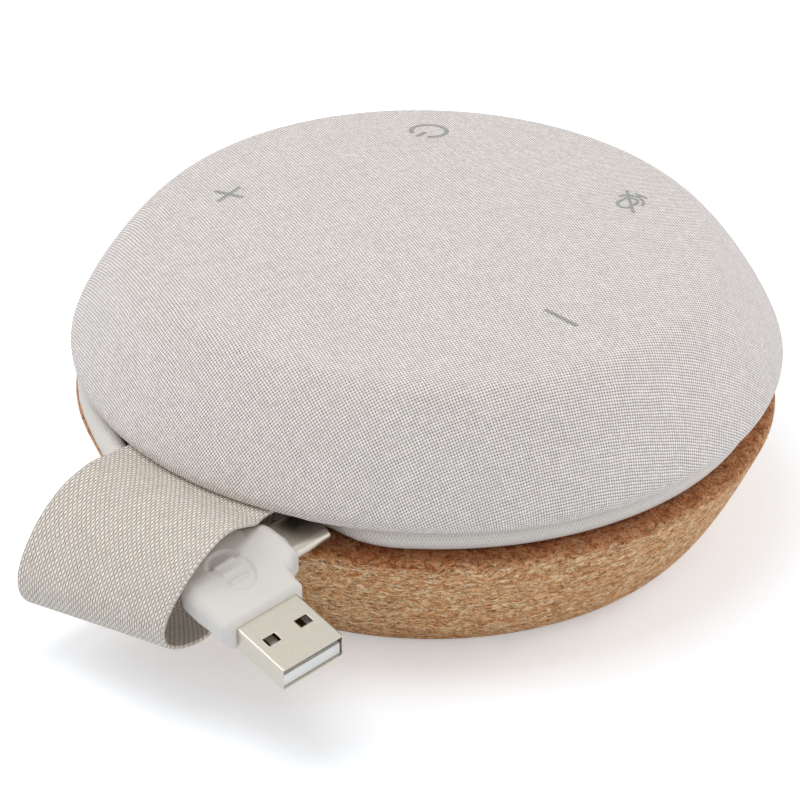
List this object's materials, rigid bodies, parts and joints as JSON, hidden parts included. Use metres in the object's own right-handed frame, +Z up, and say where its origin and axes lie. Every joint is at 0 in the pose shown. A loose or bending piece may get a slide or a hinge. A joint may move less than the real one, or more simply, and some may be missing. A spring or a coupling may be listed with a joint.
{
  "type": "conference speaker",
  "caption": "Round cloth-covered USB conference speaker on a cork base, with press keys under the cloth, a cord wound in a groove and its two-headed plug held by a webbing loop.",
  "frame": {"origin": "middle of the rubber foot, on the surface it stands on", "axes": "+Z up through the crown; the strap and plug are on the -Y side"},
  "size_m": [0.12, 0.1428, 0.0539],
  "materials": {
    "cover_cloth": "fine plain-woven polyester cloth",
    "housing_plastic": "moulded ABS",
    "key_plastic": "moulded ABS",
    "circuit_board": "glass-epoxy board",
    "switch_plastic": "moulded",
    "microphone_can": "gold-flashed can",
    "screw_steel": "zinc plated",
    "gasket_foam": "closed-cell foam",
    "basket_steel": "black coated steel",
    "magnet_steel": "zinc plated steel",
    "magnet_ferrite": "sintered ferrite",
    "copper": "enamelled copper wire",
    "cone_paper": "coated paper",
    "surround_rubber": "butyl rubber",
    "spider_cloth": "resin-treated cloth",
    "gland_rubber": "moulded",
    "cork": "turned agglomerated cork, sealed",
    "foot_rubber": "matte anti-slip rubber",
    "webbing": "coarse plain-woven webbing",
    "cord_braid": "braided sleeve",
    "overmould": "satin moulded",
    "plug_nickel": "nickel plated, warm tone",
    "insulator": "white moulded",
    "contact_gold": "gold plated"
  },
  "bodies": {
    "housing": {"cloth_cover": "cover_cloth", "head_shell": "housing_plastic", "key_board": "circuit_board", "push_switches": "switch_plastic", "microphones": "microphone_can", "board_screws": "screw_steel", "driver_gasket": "gasket_foam", "driver_basket": "basket_steel", "driver_top_plate": "magnet_steel", "driver_magnet": "magnet_ferrite", "driver_yoke": "magnet_steel", "cone_surround": "surround_rubber", "cone_spider": "spider_cloth", "driver_screws": "screw_steel", "cord_spool": "housing_plastic", "cord_gland": "gland_rubber", "head_screws": "screw_steel", "cork_base": "cork", "base_pan": "housing_plastic", "main_board": "circuit_board", "board_parts": "switch_plastic", "base_screws": "screw_steel", "rubber_foot": "foot_rubber", "strap": "webbing", "cord_coil": "cord_braid", "cord_tail": "cord_braid", "plug_body": "overmould", "usb_a_shell": "plug_nickel", "usb_a_tongue": "insulator", "usb_a_contacts": "contact_gold", "usb_c_shell": "plug_nickel", "usb_c_liner": "switch_plastic"},
    "power_key": {"key_power": "key_plastic"},
    "mute_key": {"key_mute": "key_plastic"},
    "plus_key": {"key_plus": "key_plastic"},
    "minus_key": {"key_minus": "key_plastic"},
    "cone": {"speaker_cone": "cone_paper", "dust_cap": "cone_paper", "voice_coil": "copper"}
  },
  "joints": [
    {"name": "power_key_press", "type": "slide", "parent": "housing", "child": "power_key", "axis": [0, 0, -1], "range_m": [0, 0.00035], "stiffness_N_per_m": 4000},
    {"name": "mute_key_press", "type": "slide", "parent": "housing", "child": "mute_key", "axis": [0, 0, -1], "range_m": [0, 0.00035], "stiffness_N_per_m": 4000},
    {"name": "plus_key_press", "type": "slide", "parent": "housing", "child": "plus_key", "axis": [0, 0, -1], "range_m": [0, 0.00035], "stiffness_N_per_m": 4000},
    {"name": "minus_key_press", "type": "slide", "parent": "housing", "child": "minus_key", "axis": [0, 0, -1], "range_m": [0, 0.00035], "stiffness_N_per_m": 4000},
    {"name": "cone_travel", "type": "slide", "parent": "housing", "child": "cone", "axis": [0, 0, 1], "range_m": [-0.0005, 0.0005], "stiffness_N_per_m": 1500, "deforming": ["cone_surround", "cone_spider"]}
  ]
}
